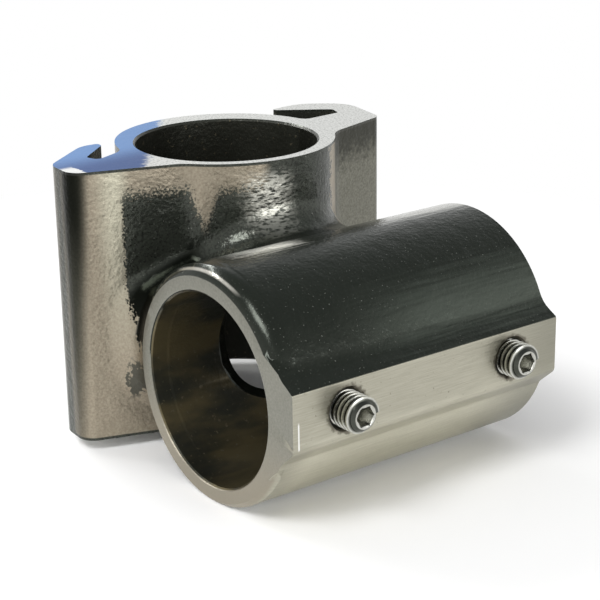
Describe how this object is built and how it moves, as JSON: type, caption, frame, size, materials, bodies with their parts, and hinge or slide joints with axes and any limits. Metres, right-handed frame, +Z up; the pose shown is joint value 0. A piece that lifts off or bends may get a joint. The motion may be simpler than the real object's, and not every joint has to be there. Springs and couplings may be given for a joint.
{
  "type": "cross clamp block",
  "caption": "Cast block that clamps two crossing tubes, with an upright and a level sleeve, hooked wings and set screws.",
  "frame": {"origin": "on the upright bore's axis, halfway up the upright sleeve", "axes": "+Z up along the upright bore, +X along the level bore, -Y towards the pad and its set screws"},
  "size_m": [0.0542, 0.0638, 0.0397],
  "materials": {
    "cast_steel": "cast stainless steel, polished dark, machined pale on the faces",
    "screw_steel": "bright turned stainless steel"
  },
  "bodies": {
    "casting": {"clamp_body": "cast_steel"},
    "near_screw": {"set_screw_near": "screw_steel"},
    "far_screw": {"set_screw_far": "screw_steel"}
  },
  "joints": [
    {"name": "near_screw_travel", "type": "slide", "parent": "casting", "child": "near_screw", "axis": [0, 1, 0], "range_m": [-0.0013, 0.0034]},
    {"name": "far_screw_travel", "type": "slide", "parent": "casting", "child": "far_screw", "axis": [0, 1, 0], "range_m": [-0.0018, 0.0029]}
  ]
}
